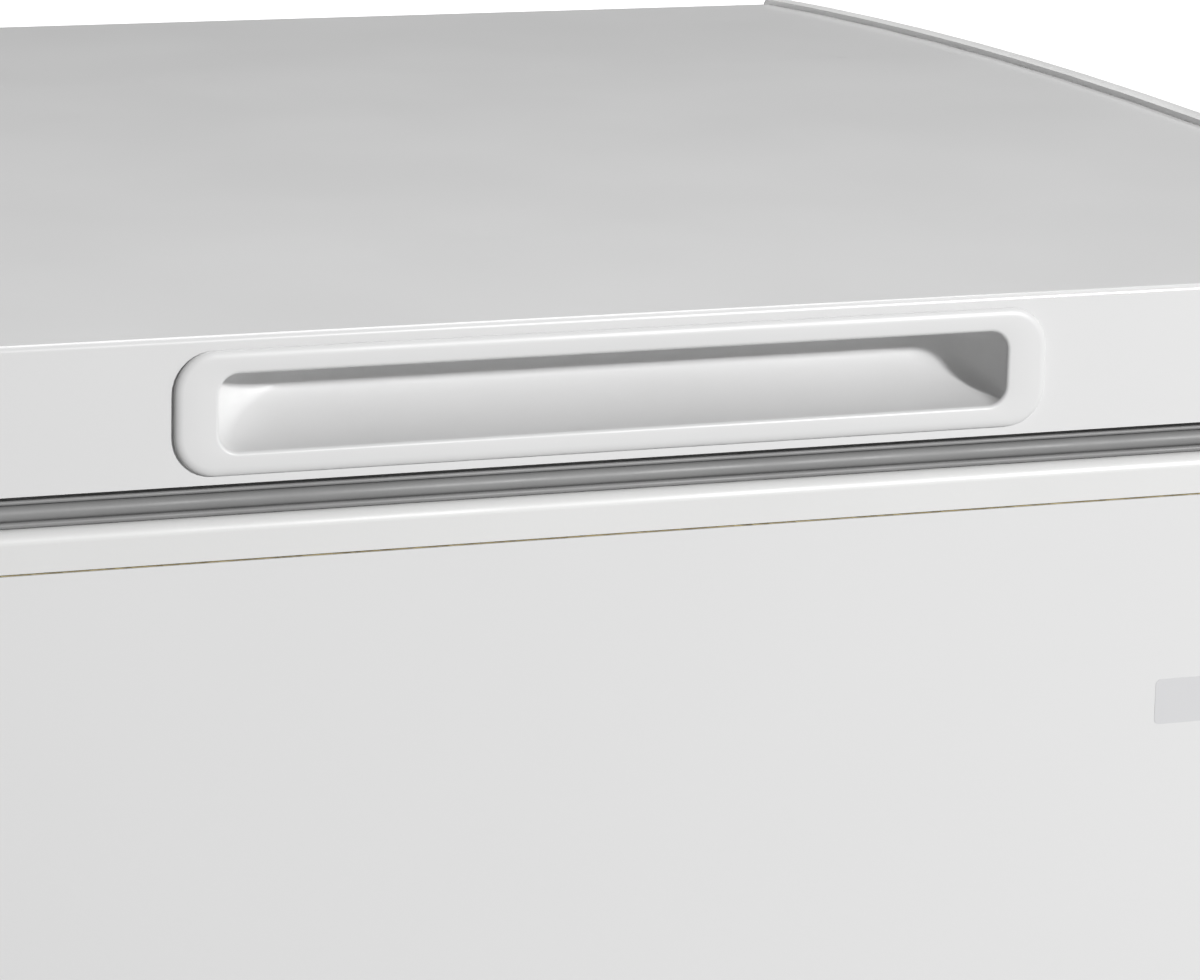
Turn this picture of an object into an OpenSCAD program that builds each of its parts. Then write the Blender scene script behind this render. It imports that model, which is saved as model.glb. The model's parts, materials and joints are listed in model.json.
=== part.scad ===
// Compact chest freezer with a top-opening lid. Millimetres, +Z up, front towards -Y.
// The origin is on the floor, at the middle of the overall width and depth.

/* [Overall] */
// Width over the lid's end caps
overall_w = 545; // [500:1:660]
// Lid depth, from its front face to its rear face
lid_d = 529; // [470:1:640]
// Height to the top of the lid's crown
overall_h = 850; // [720:1:1020]

/* [Lid] */
// Height of the lid's front face
lid_front_h = 37.2; // [34:0.1:46]
// Rise of the lid's top from its edges to its middle
crown_h = 8.3; // [4:0.1:14]
// Outside bend radius of the lid sheet
lid_bend_r = 1.6; // [1.5:0.1:3]
// Height of the end caps' rim above the sheet
rim_up = 1.8; // [1:0.1:3]
// Width of the end caps' rim over the sheet
rim_w = 6.5; // [5:0.1:10]
// Thickness of the end caps' side wall
cap_t = 2.5; // [2:0.1:4]
// Depth that the inner lid panel dips into the tub
lid_dip = 18; // [10:1:26]
// Thickness of the inner lid panel
lid_liner_t = 1.2; // [1:0.1:2]
// Gap between the lid's underside and the collar, which the gasket fills
gasket_gap = 9.2; // [8:0.1:13]
// Width of the gasket's fixing strip
gasket_w = 13; // [11:0.5:18]
// Setback of the gasket from the lid's front face
gasket_setback = 4; // [3:0.5:8]

/* [Handle] */
// Length of the handle bezel
handle_l = 236.6; // [180:0.1:300]
// Height of the handle bezel
handle_h = 31.6; // [28:0.1:32.5]
// Distance from the lid's top edge to the top of the bezel
handle_drop = 3.3; // [2.5:0.1:4]
// Corner radius of the bezel
handle_r = 10.5; // [7:0.1:13]
// How far the bezel stands out of the lid's front
bezel_out = 1.8; // [1.2:0.1:3]
// Length of the finger opening
grip_l = 213.8; // [150:0.1:215]
// Height of the finger opening
grip_h = 19.5; // [16:0.1:20]
// Corner radius of the finger opening
grip_r = 5; // [3:0.1:7]
// Depth of the finger recess behind the bezel's face
grip_depth = 24; // [18:0.5:30]
// Wall of the handle insert
handle_wall = 1.8; // [1.4:0.1:2.4]

/* [Cabinet] */
// Setback of the cabinet's front from the lid's front face
front_reveal = 2.5; // [1:0.1:6]
// Setback of the cabinet's back from the lid's rear face
rear_reveal = 6.5; // [4:0.1:10]
// Overhang of the lid on each side
side_reveal = 4; // [2:0.1:8]
// Height of the collar's outer face
collar_face_h = 11.2; // [9:0.1:16]
// Open seam between the collar and the outer sheet
seam = 0.5; // [0.3:0.1:1]
// Thickness of the outer steel sheets
sheet_t = 0.6; // [0.5:0.1:1]
// Corner radius of the cabinet in plan
cab_r = 8; // [6:0.5:14]
// Wall from the outer sheet to the liner, at the sides
wall_side = 60; // [52:1:66]
// Wall from the outer sheet to the liner, at front and back
wall_front = 58; // [52:1:64]
// Insulation under the tub's floor
floor_wall = 56; // [50:1:66]
// Thickness of the liner sheet
liner_t = 0.8; // [0.6:0.1:1.2]
// Corner radius of the tub
tub_r = 16; // [10:1:24]
// Height of the fixed feet
foot_h = 14; // [10:1:24]
// Diameter of a foot at the floor
foot_d = 34; // [26:1:44]

/* [Compressor compartment] */
// Outside width of the compartment
comp_w = 165; // [158:1:182]
// Height of the compartment's ceiling above the floor
comp_h = 250; // [235:1:280]
// Insulation between the compartment and the tub
comp_wall = 44; // [40:1:55]
// Shell radius of the compressor
shell_r = 58; // [50:1:60]
// Shell height of the compressor
shell_h = 138; // [120:1:150]

/* [Tubes] */
// Diameter of the evaporator and suction tube
evap_d = 8; // [6:0.5:8]
// Turns of the evaporator
evap_turns = 7; // [4:1:9]
// Height between evaporator turns
evap_pitch = 46; // [30:1:50]
// Diameter of the condenser tube
cond_d = 5; // [4:0.5:6]
// Runs of the condenser tube
cond_runs = 6; // [4:2:6]
// Height between condenser runs
cond_pitch = 70; // [50:1:74]

/* [Hinges] */
// Distance of each hinge's middle from the cabinet's middle
hinge_x = 165; // [120:1:180]
// Distance of the pin's axis behind the lid's rear face
hinge_back = 10; // [9:0.5:14]
// Diameter of the hinge pin
pin_d = 6; // [5:0.5:7]
// Radial running clearance round the hinge pin
pin_clear = 0.05; // [0.02:0.01:0.09]
// Outer radius of the hinge eyes
eye_r = 6.5; // [6:0.1:7.5]
// Thickness of the hinge plates
leaf_t = 2.5; // [2:0.1:3]
// Width of the hinge's cabinet leaf
leaf_w = 56; // [50:1:70]

/* [Basket] */
// Width of the basket, along the freezer
basket_w = 190; // [140:1:200]
// Depth of the basket's mesh below its rim
basket_h = 165; // [120:5:190]
// Thickness of the basket's rim wire
rim_wire_d = 6; // [5:0.5:7]
// Thickness of the basket's mesh wires
mesh_wire_d = 3; // [2.5:0.1:4]
// Height of the liner's ledge below the collar's top
ledge_drop = 46; // [40:1:60]

/* [Controls] */
// Diameter of the thermostat knob
knob_d = 34; // [28:1:40]
// Height of the control panel
panel_h = 64; // [56:1:80]
// Width of the control panel
panel_w = 118; // [110:1:140]

/* [Fits] */
// Clearance between pieces that are laid together
fit = 0.2; // [0.1:0.05:0.3]
// Clearance between pieces that move against each other
run = 0.3; // [0.3:0.05:0.5]

/* [Hidden] */
knob_h = 14;
panel_out = 1.6;
front_out = panel_out + run + knob_h - front_reveal;
overall_d = front_out + lid_d + hinge_back + eye_r;
lid_y0 = -overall_d / 2 + front_out;
lid_y1 = lid_y0 + lid_d;
lid_mid_y = (lid_y0 + lid_y1) / 2;
lid_edge_z = overall_h - crown_h - rim_up;
lid_under_z = lid_edge_z - lid_front_h;
collar_z = lid_under_z - gasket_gap;
wrap_z1 = collar_z - collar_face_h;
crown_r = (pow(lid_d / 2, 2) + crown_h * crown_h) / (2 * crown_h);
crown_z = lid_edge_z + crown_h - crown_r;
crown_a = asin((lid_d / 2 - lid_bend_r) / (crown_r - lid_bend_r));
bend_z = crown_z + (crown_r - lid_bend_r) * cos(crown_a);
crown_fn = 1440;
skin_half = overall_w / 2 - cap_t - fit;
lid_flange = 12;

cab_w = overall_w - 2 * side_reveal;
cab_y0 = lid_y0 + front_reveal;
cab_y1 = lid_y1 - rear_reveal;
cab_d = cab_y1 - cab_y0;
cab_mid_y = (cab_y0 + cab_y1) / 2;
base_z = foot_h + sheet_t;
tub_w = cab_w - 2 * wall_side;
tub_d = cab_d - 2 * wall_front;
tub_floor_z = base_z + floor_wall;
tub_top_z = collar_z - 3;
comp_x0 = cab_w / 2 - comp_w;
step_x = comp_x0 - comp_wall;
step_z = comp_h + comp_wall;
panel_t = 0.8;

hinge_y = lid_y1 + hinge_back;
hinge_z = lid_under_z - 2;
ledge_z = collar_z - ledge_drop;
ledge_reach = 9;
ledge_t = 6;

comp_cx = cab_w / 2 - comp_w / 2;
comp_cy = cab_y1 - 118;
plate_z = base_z + 10;
shell_z = plate_z + 2 + 14;
shell_dome = 34;

grip_z = lid_edge_z - handle_drop - handle_h / 2;
bezel_edge = 1.3;

plug_x = -tub_w / 2 + 60;
plug_y = cab_y0 + wall_front + 60;
drain_z = base_z + 22;

$fn = 48;

// ---- shared shapes ----

// A rounded rectangle about the origin
module round_rect(w, d, r) {
    square([w - 2 * r, d], center = true);
    square([w, d - 2 * r], center = true);
    for (x = [-1, 1])
        for (y = [-1, 1])
            translate([x * (w / 2 - r), y * (d / 2 - r)])
                circle(r = r);
}

// A flat shape drawn in Y and Z, run along X
module along_x(x0, x1) {
    translate([x0, 0, 0])
        rotate([90, 0, 90])
            linear_extrude(height = x1 - x0)
                children();
}

// A flat shape drawn in X and Z, run along Y
module along_y(y0, y1) {
    translate([0, y1, 0])
        rotate([90, 0, 0])
            linear_extrude(height = y1 - y0)
                children();
}

// A section run round a rounded rectangle: its x points outwards, its y upwards
module ring_sweep(w, d, r) {
    for (a = [0, 180])
        rotate([0, 0, a]) {
            translate([w / 2, 0, 0])
                rotate([90, 0, 0])
                    linear_extrude(height = d - 2 * r, center = true)
                        children();
            rotate([0, 0, 90])
                translate([d / 2, 0, 0])
                    rotate([90, 0, 0])
                        linear_extrude(height = w - 2 * r, center = true)
                            children();
            translate([w / 2 - r, d / 2 - r, 0])
                rotate_extrude(angle = 90)
                    translate([r, 0])
                        children();
            translate([-w / 2 + r, d / 2 - r, 0])
                rotate([0, 0, 90])
                    rotate_extrude(angle = 90)
                        translate([r, 0])
                            children();
        }
}

// A round bar between two points on one line parallel to an axis
module bar(p, q, d) {
    v = q - p;
    translate(p)
        rotate([0, acos(v[2] / norm(v)), atan2(v[1], v[0])])
            cylinder(h = norm(v), d = d);
}

// A screw with a pan head, its head at the origin and its shank along -Z
module screw(shank_d, length, head_d, head_h) {
    cylinder(h = head_h, d = head_d);
    translate([0, 0, -length])
        cylinder(h = length, d = shank_d);
}

function unit(v) = v / norm(v);

// The route with each inner corner turned into an arc of the given radius
function turned(p, r, steps = 5) = [
    for (i = [0:len(p) - 1])
        if (i == 0 || i == len(p) - 1) p[i]
        else let (
            a = unit(p[i - 1] - p[i]),
            b = unit(p[i + 1] - p[i]),
            half = acos(max(-1, min(1, a * b))) / 2,
            cut = r / tan(half),
            middle = p[i] + unit(a + b) * r / sin(half),
            from = p[i] + a * cut - middle,
            side = unit(-a),
            sweep = 180 - 2 * half
        )
        each [for (k = [0:steps]) middle + from * cos(sweep * k / steps)
            + side * r * sin(sweep * k / steps)]
];

function way(p, i) = unit(p[min(i + 1, len(p) - 1)] - p[max(i - 1, 0)]);
function carried(u, t) = unit(u - (u * t) * t);
function sides_of(p, i, u) = i == len(p) ? []
    : let (v = carried(u, way(p, i))) concat([v], sides_of(p, i + 1, v));

// A round tube swept along a route
module tube(p, d, sides = 8) {
    n = len(p);
    first = abs(way(p, 0)[2]) > 0.9 ? [1, 0, 0] : [0, 0, 1];
    us = sides_of(p, 0, first);
    points = [for (i = [0:n - 1], k = [0:sides - 1])
        p[i] + d / 2 * (us[i] * cos(360 * k / sides) + cross(way(p, i), us[i]) * sin(360 * k / sides))];
    walls = [for (i = [0:n - 2], k = [0:sides - 1])
        [i * sides + k, (i + 1) * sides + k, (i + 1) * sides + (k + 1) % sides, i * sides + (k + 1) % sides]];
    start = [for (k = [0:sides - 1]) k];
    end = [for (k = [sides - 1:-1:0]) (n - 1) * sides + k];
    polyhedron(points = points, faces = concat(walls, [start, end]), convexity = 10);
}

// ---- lid ----

// The lid seen from its end, grown outwards by g
module lid_outline(g = 0) {
    y_t = (crown_r - lid_bend_r) * sin(crown_a) + (lid_bend_r + g) * sin(crown_a);
    intersection() {
        translate([lid_mid_y, crown_z])
            circle(r = crown_r + g, $fn = crown_fn);
        translate([lid_mid_y - y_t, lid_under_z])
            square([2 * y_t, lid_front_h + crown_h + 10]);
    }
    translate([lid_y0 - g, lid_under_z])
        square([lid_d + 2 * g, bend_z - lid_under_z]);
    for (s = [-1, 1])
        translate([lid_mid_y + s * (lid_d / 2 - lid_bend_r), bend_z])
            circle(r = lid_bend_r + g);
}

module handle_hole(g) {
    translate([0, 0, grip_z])
        along_y(lid_y0 - 1, lid_y0 + grip_depth + 10)
            round_rect(grip_l + 2 * handle_wall + 2 * g, grip_h + 2 * handle_wall + 2 * g, grip_r + handle_wall + g);
}

module lid_skin() color([0.95, 0.95, 0.95])
    difference() {
        along_x(-skin_half, skin_half)
            difference() {
                lid_outline();
                intersection() {
                    lid_outline(-sheet_t);
                    translate([lid_y0, lid_under_z + sheet_t])
                        square([lid_d, lid_front_h + crown_h]);
                }
                translate([lid_y0 + lid_flange, lid_under_z - 1])
                    square([lid_d - 2 * lid_flange, sheet_t + 2]);
            }
        handle_hole(fit);
        hinge_lid_screws();
    }

// A side wall with a rim that laps over the edge of the sheet
module lid_cap() {
    difference() {
        along_x(overall_w / 2 - rim_w, overall_w / 2)
            lid_outline(rim_up);
        along_x(overall_w / 2 - rim_w - 1, overall_w / 2 - cap_t)
            lid_outline();
    }
}

module lid_cap_right() color([0.93, 0.93, 0.93])
    lid_cap();

module lid_cap_left() color([0.93, 0.93, 0.93])
    mirror([1, 0, 0])
        lid_cap();

dip_w = tub_w - 14;
dip_d = tub_d - 14;

// The inner lid panel's dished part, grown outwards by g
module lid_dish(g) {
    translate([0, cab_mid_y, lid_under_z - lid_dip - g])
        linear_extrude(height = lid_dip + g + 1)
            round_rect(dip_w + 2 * g, dip_d + 2 * g, tub_r + g);
}

module lid_foam() color([0.95, 0.9, 0.7])
    difference() {
        union() {
            along_x(-skin_half + fit, skin_half - fit)
                intersection() {
                    lid_outline(-sheet_t);
                    translate([lid_y0, lid_under_z + sheet_t])
                        square([lid_d, lid_front_h + crown_h]);
                }
            intersection() {
                lid_dish(0);
                translate([0, 0, lid_under_z])
                    cube([overall_w, overall_w * 2, 3 * lid_dip], center = true);
            }
        }
        translate([0, 0, grip_z])
            along_y(lid_y0, lid_y0 + grip_depth + handle_wall)
                round_rect(grip_l + 2 * handle_wall, grip_h + 2 * handle_wall, grip_r + handle_wall);
        hinge_lid_screws();
    }

module lid_inner_panel() color([0.96, 0.96, 0.95])
    difference() {
        union() {
            translate([0, lid_mid_y, lid_under_z - lid_liner_t])
                linear_extrude(height = lid_liner_t)
                    round_rect(overall_w - 2 * gasket_setback - 4, lid_d - 2 * gasket_setback - 4, 10);
            intersection() {
                lid_dish(lid_liner_t);
                translate([-overall_w, -overall_w, 0])
                    cube([2 * overall_w, 2 * overall_w, lid_under_z]);
            }
        }
        lid_dish(0);
    }

// The gasket's section below the panel: x points outwards, y upwards from its sealing face
module gasket_section(h) {
    foot = 1.5;
    bulge_r = (h - 3.6) / 2;
    // core and fixing strip
    translate([-gasket_w + 3, 0.4])
        square([gasket_w - 5, h - 0.8]);
    translate([-gasket_w, h - 1])
        square([gasket_w - 2.5, 1]);
    // thin upper lip
    translate([-4, h - 1.9])
        square([2.9, 1.1]);
    translate([-1.1, h - 1.35])
        circle(r = 0.55);
    // bellows
    translate([-bulge_r - 0.15, foot - 0.15 + bulge_r])
        circle(r = bulge_r);
    // sealing foot
    translate([-gasket_w + 1, 0])
        square([gasket_w - 1 - foot / 2, foot]);
    translate([-foot / 2, foot / 2])
        circle(r = foot / 2);
}

gasket_h = gasket_gap - lid_liner_t - run;
gasket_r = gasket_w + 3;

module lid_gasket() color([0.62, 0.62, 0.62])
    difference() {
        translate([0, lid_mid_y, collar_z + run])
            ring_sweep(overall_w - 2 * side_reveal - 2 * gasket_setback, lid_d - 2 * gasket_setback, gasket_r)
                gasket_section(gasket_h);
        magnet_ring();
    }

module magnet_ring() {
    translate([0, lid_mid_y, collar_z + run])
        ring_sweep(overall_w - 2 * side_reveal - 2 * gasket_setback, lid_d - 2 * gasket_setback, gasket_r)
            translate([-gasket_w + 3.6, 0.5])
                square([5, 2]);
}

module gasket_magnet() color([0.25, 0.22, 0.2])
    magnet_ring();

// A quarter round, its corner at the outside top
module edge_round(r, keep) {
    translate([-keep, 0])
        square([keep - r, bezel_out]);
    translate([-r - 0.01, 0])
        square([r + 0.01, bezel_out - r]);
    translate([-r, bezel_out - r])
        intersection() {
            circle(r = r);
            square(r);
        }
}

module handle_cavity() {
    back_r = 13;
    end_r = 20;
    depth = grip_depth;
    intersection() {
        along_x(-grip_l / 2, grip_l / 2)
            translate([lid_y0 - bezel_out, grip_z]) {
                translate([-1, -grip_h / 2])
                    square([depth + 1 - back_r, grip_h]);
                translate([-1, -grip_h / 2 + back_r])
                    square([depth + 1, grip_h - back_r - 3]);
                translate([depth - back_r, -grip_h / 2 + back_r])
                    circle(r = back_r);
                translate([depth - back_r, grip_h / 2 - 5])
                    square([back_r - 3, 5]);
                translate([depth - 3, grip_h / 2 - 3])
                    circle(r = 3);
            }
        translate([0, lid_y0 - bezel_out - 1, 0])
            linear_extrude(height = lid_edge_z) {
                translate([-grip_l / 2, 0])
                    square([grip_l, depth + 1 - end_r]);
                translate([-grip_l / 2 + end_r, 0])
                    square([grip_l - 2 * end_r, depth + 1]);
                for (s = [-1, 1])
                    translate([s * (grip_l / 2 - end_r), depth + 1 - end_r])
                        circle(r = end_r);
            }
        translate([0, 0, grip_z])
            along_y(lid_y0 - bezel_out - 1, lid_y0 + depth + 1)
                round_rect(grip_l, grip_h, grip_r);
    }
}

module handle_insert() color([0.97, 0.97, 0.97]) {
    outer_keep = 4;
    difference() {
        union() {
            translate([0, lid_y0, grip_z])
                rotate([90, 0, 0])
                    ring_sweep(handle_l, handle_h, handle_r)
                        edge_round(bezel_edge, outer_keep);
            translate([0, 0, grip_z])
                along_y(lid_y0 - bezel_out, lid_y0)
                    round_rect(handle_l - 2 * outer_keep, handle_h - 2 * outer_keep, handle_r - outer_keep);
            translate([0, 0, grip_z])
                along_y(lid_y0 - 0.01, lid_y0 - bezel_out + grip_depth + handle_wall)
                    round_rect(grip_l + 2 * handle_wall, grip_h + 2 * handle_wall, grip_r + handle_wall);
        }
        handle_cavity();
    }
}

// ---- hinges ----

leaf_top = lid_edge_z - 3;
lid_leaf_w = 34;
ear_t = 2.5;
eye_gap = run;
screw_d = 4;
screw_head_d = 7;

// An ear in Y and Z, from the plate at y_plate to the eye round the pin
module ear_outline(y_plate, z_low, z_high) {
    polygon([[y_plate, z_low], [y_plate, z_high], [hinge_y - eye_r, hinge_z], [hinge_y, hinge_z - eye_r],
        [hinge_y + eye_r * 0.5, hinge_z - eye_r * 0.86]]);
    translate([hinge_y, hinge_z])
        circle(r = eye_r);
}

module pin_hole(x0, x1, clear) {
    along_x(x0, x1)
        translate([hinge_y, hinge_z])
            circle(d = pin_d + 2 * clear);
}

module screw_holes(xs, zs, y0, y1) {
    for (x = xs)
        for (z = zs)
            translate([x, 0, z])
                along_y(y0, y1)
                    circle(d = screw_d);
}

lid_screw_x = 10;
lid_screw_z = [lid_under_z + 14, lid_under_z + 27];
body_screw_x = 17;
body_screw_z = [hinge_z - 30, hinge_z - 74];
body_leaf_low = hinge_z - 88;
body_leaf_high = hinge_z - 16;

module lid_leaf(s) {
    translate([s * hinge_x, 0, 0])
        difference() {
            union() {
                along_y(lid_y1, lid_y1 + leaf_t)
                    polygon([[-lid_leaf_w / 2, lid_under_z + 1], [lid_leaf_w / 2, lid_under_z + 1],
                        [lid_leaf_w / 2 - 4, leaf_top], [-lid_leaf_w / 2 + 4, leaf_top]]);
                for (e = [-1, 1])
                    translate([e * (lid_leaf_w / 2 - ear_t / 2), 0, 0])
                        along_x(-ear_t / 2, ear_t / 2) {
                            translate([lid_y1, lid_under_z + 1])
                                square([hinge_back, 8]);
                            translate([hinge_y, hinge_z + 2])
                                square([eye_r, lid_under_z + 1 - hinge_z]);
                            translate([hinge_y, hinge_z])
                                circle(r = eye_r);
                        }
            }
            pin_hole(-lid_leaf_w, lid_leaf_w, 0);
            screw_holes([-lid_screw_x, lid_screw_x], lid_screw_z, lid_y1 - 1, lid_y1 + leaf_t + 1);
        }
}

module hinge_left_lid_leaf() color([0.75, 0.75, 0.77])
    lid_leaf(-1);

module hinge_right_lid_leaf() color([0.75, 0.75, 0.77])
    lid_leaf(1);

module hinge_lid_screws() color([0.6, 0.6, 0.62])
    for (s = [-1, 1])
        for (x = [-lid_screw_x, lid_screw_x])
            for (z = lid_screw_z)
                translate([s * hinge_x + x, lid_y1 + leaf_t, z])
                    rotate([-90, 0, 0])
                        screw(screw_d, 14, screw_head_d, 1.8);

module body_leaf(s) {
    translate([s * hinge_x, 0, 0])
        difference() {
            union() {
                along_y(cab_y1, cab_y1 + leaf_t)
                    translate([0, (body_leaf_low + body_leaf_high) / 2])
                        round_rect(leaf_w, body_leaf_high - body_leaf_low, 5);
                for (e = [-1, 1])
                    translate([e * (lid_leaf_w / 2 + eye_gap + ear_t / 2), 0, 0])
                        along_x(-ear_t / 2, ear_t / 2)
                            ear_outline(cab_y1, body_leaf_low + 10, body_leaf_high);
            }
            pin_hole(-leaf_w, leaf_w, pin_clear);
            screw_holes([-body_screw_x + 6, body_screw_x - 6], body_screw_z, cab_y1 - 1, cab_y1 + leaf_t + 1);
        }
}

module hinge_left_body_leaf() color([0.75, 0.75, 0.77])
    body_leaf(-1);

module hinge_right_body_leaf() color([0.75, 0.75, 0.77])
    body_leaf(1);

pin_half = lid_leaf_w / 2 + eye_gap + ear_t + 1.2;

module hinge_pin(s) {
    along_x(s * hinge_x - pin_half, s * hinge_x + pin_half)
        translate([hinge_y, hinge_z])
            circle(d = pin_d);
    along_x(s * hinge_x + pin_half, s * hinge_x + pin_half + 1.6)
        translate([hinge_y, hinge_z])
            circle(d = pin_d + 3);
}

module hinge_left_pin() color([0.7, 0.7, 0.72])
    hinge_pin(-1);

module hinge_right_pin() color([0.7, 0.7, 0.72])
    hinge_pin(1);

spring_wire = 1.6;
spring_turns = 7;
spring_r = pin_d / 2 + spring_wire / 2 + run;
spring_l = spring_turns * (spring_wire + 0.5);

// A torsion spring round the pin, its long leg resting on the cabinet's leaf
module hinge_spring(s) {
    steps = 14 * spring_turns;
    coil = [for (i = [0:steps])
        [s * hinge_x - spring_l / 2 + spring_l * i / steps,
            hinge_y + spring_r * cos(360 * i / 14), hinge_z - spring_r * sin(360 * i / 14)]];
    leg = [[s * hinge_x + spring_l / 2, hinge_y + spring_r, hinge_z - 3],
        [s * hinge_x + spring_l / 2, cab_y1 + leaf_t + spring_wire / 2 + fit,
            body_screw_z[0] + screw_head_d / 2 + spring_wire + run]];
    tube(concat(coil, leg), spring_wire, 6);
}

module hinge_left_spring() color([0.45, 0.45, 0.47])
    hinge_spring(-1);

module hinge_right_spring() color([0.45, 0.45, 0.47])
    hinge_spring(1);

module hinge_body_screws() color([0.6, 0.6, 0.62])
    for (s = [-1, 1])
        for (x = [-body_screw_x + 6, body_screw_x - 6])
            for (z = body_screw_z)
                translate([s * hinge_x + x, cab_y1 + leaf_t, z])
                    rotate([-90, 0, 0])
                        screw(screw_d, 14, screw_head_d, 1.8);

// ---- cabinet shell ----

// The cabinet in plan, grown outwards by g, with square rear corners
module cab_plan(g = 0) {
    translate([0, cab_mid_y])
        round_rect(cab_w + 2 * g, cab_d + 2 * g, cab_r + g);
    translate([-cab_w / 2 - g, cab_mid_y])
        square([cab_w + 2 * g, cab_d / 2 + g]);
}

grille_w = 150;
grille_h = 120;
grille_y = cab_y1 - 150;
grille_z = base_z + 40 + grille_h / 2;
panel_x = cab_w / 2 - comp_w / 2;
panel_z = base_z + 62 + panel_h / 2;
knob_x = panel_x + 22;
lamp_x = panel_x - 34;
drain_x = plug_x;
return_w = 12;

module outer_wrap() color([0.96, 0.96, 0.96])
    difference() {
        translate([0, 0, foot_h])
            linear_extrude(height = wrap_z1 - foot_h)
                difference() {
                    cab_plan();
                    cab_plan(-sheet_t);
                    translate([-cab_w / 2 + return_w, cab_y1 - 5])
                        square([cab_w - 2 * return_w, 10]);
                }
        // opening behind the side grille
        along_x(cab_w / 2 - 5, cab_w / 2 + 5)
            translate([grille_y, grille_z])
                round_rect(grille_w - 8, grille_h - 8, 5);
        // opening behind the control panel
        translate([panel_x, 0, panel_z])
            along_y(cab_y0 - 5, cab_y0 + 5)
                round_rect(panel_w - 8, panel_h - 8, 5);
        // hole of the defrost drain
        translate([drain_x, 0, drain_z])
            along_y(cab_y0 - 5, cab_y0 + 5)
                circle(d = 19);
    }

back_in = cab_y1 - sheet_t;
cover_w = comp_w - 14;
cover_h = comp_h - base_z - 14;
cover_x = cab_w / 2 - comp_w / 2 - 8;
cover_z = base_z + 6 + cover_h / 2;

module rear_panel() color([0.78, 0.79, 0.8])
    difference() {
        along_y(back_in - sheet_t, back_in)
            translate([0, (base_z + wrap_z1) / 2])
                square([cab_w - 2 * sheet_t, wrap_z1 - base_z], center = true);
        translate([cover_x, 0, cover_z])
            along_y(back_in - 5, back_in + 5)
                round_rect(cover_w - 22, cover_h - 16, 6);
        hinge_body_screws();
        rear_cover_screws();
    }

foot_x = cab_w / 2 - 32;
foot_y = cab_d / 2 - 34;

// The base pan's turned-up edge, with g of room inside and above it
module base_flange(g) {
    translate([0, 0, foot_h])
        linear_extrude(height = 14 + g)
            difference() {
                cab_plan(-sheet_t);
                cab_plan(-2 * sheet_t - g);
                translate([-cab_w, back_in - 3])
                    square([2 * cab_w, 10]);
            }
}

module base_pan() color([0.7, 0.71, 0.72])
    difference() {
        union() {
            translate([0, 0, foot_h])
                linear_extrude(height = sheet_t)
                    cab_plan(-sheet_t);
            base_flange(0);
        }
        // air slots under the compressor
        for (i = [-3:3])
            translate([comp_cx + i * 16, comp_cy, foot_h])
                cube([6, 70, 10], center = true);
        for (x = [-foot_x, foot_x])
            for (y = [-foot_y, foot_y])
                translate([x, cab_mid_y + y, 0])
                    cylinder(h = 60, d = 10);
        // hole of the drain tube's bend
        translate([drain_x, cab_y0, drain_z])
            rotate([90, 0, 0])
                cylinder(h = 20, d = 19, center = true);
    }

module feet() color([0.2, 0.2, 0.21])
    for (x = [-foot_x, foot_x])
        for (y = [-foot_y, foot_y])
            translate([x, cab_mid_y + y, 0]) {
                translate([0, 0, 2])
                    cylinder(h = foot_h - 2, d = foot_d);
                cylinder(h = 2, d1 = foot_d - 4, d2 = foot_d);
                cylinder(h = foot_h + 6, d = 9.6);
            }

module compartment_panel() color([0.75, 0.76, 0.77])
    difference() {
        along_y(cab_y0 + 2 * sheet_t + fit, back_in - sheet_t - fit)
            compartment_section();
        pipe_chase();
    }

module compartment_section() {
        difference() {
            translate([comp_x0 - panel_t, base_z])
                square([comp_w + panel_t - sheet_t, comp_h - base_z + panel_t]);
            translate([comp_x0, base_z - 1])
                square([comp_w, comp_h - base_z + 1]);
        }
}

// The tub's side view: full width above the step, narrow below it
module tub_side(g) {
    upper_h = tub_top_z - step_z + 30;
    lower_h = tub_top_z - tub_floor_z + 30;
    lower_w = step_x + tub_w / 2;
    translate([0, step_z - g + (upper_h + g) / 2])
        round_rect(tub_w + 2 * g, upper_h + g, tub_r + g);
    translate([-tub_w / 2 + lower_w / 2, tub_floor_z - g + (lower_h + g) / 2])
        round_rect(lower_w + 2 * g, lower_h + g, tub_r + g);
    difference() {
        translate([step_x + g - 1, step_z - g - 9])
            square([10, 10]);
        translate([step_x + g + 9, step_z - g - 9])
            circle(r = 9);
    }
}

module tub_space(g, top) {
    intersection() {
        along_y(cab_y0, cab_y1)
            tub_side(g);
        translate([0, cab_mid_y, base_z])
            linear_extrude(height = top - base_z)
                round_rect(tub_w + 2 * g, tub_d + 2 * g, tub_r + g);
    }
}

module inner_liner() color([0.93, 0.94, 0.95])
    difference() {
        tub_space(liner_t, tub_top_z);
        tub_space(0, tub_top_z + 10);
        translate([plug_x, plug_y, tub_floor_z - 10])
            cylinder(h = 20, d = 20);
    }

ledge_l = tub_w - 60;

module basket_ledges() color([0.9, 0.9, 0.9])
    for (s = [-1, 1])
        translate([0, cab_mid_y + s * (tub_d / 2 - ledge_reach / 2), ledge_z - ledge_t / 2]) {
            cube([ledge_l, ledge_reach, ledge_t], center = true);
            translate([0, s * (ledge_reach / 2 - 1), -8])
                cube([ledge_l, 2, 12], center = true);
        }

cond_z0 = base_z + 330;
evap_z0 = step_z + 60;
groove = evap_d + 2 * fit;
cond_groove = cond_d + 2 * fit;
evap_out = evap_d / 2 + liner_t + fit;
cond_in = sheet_t + cond_d / 2 + fit;
jog_x = -tub_w / 2 + 70;

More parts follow.
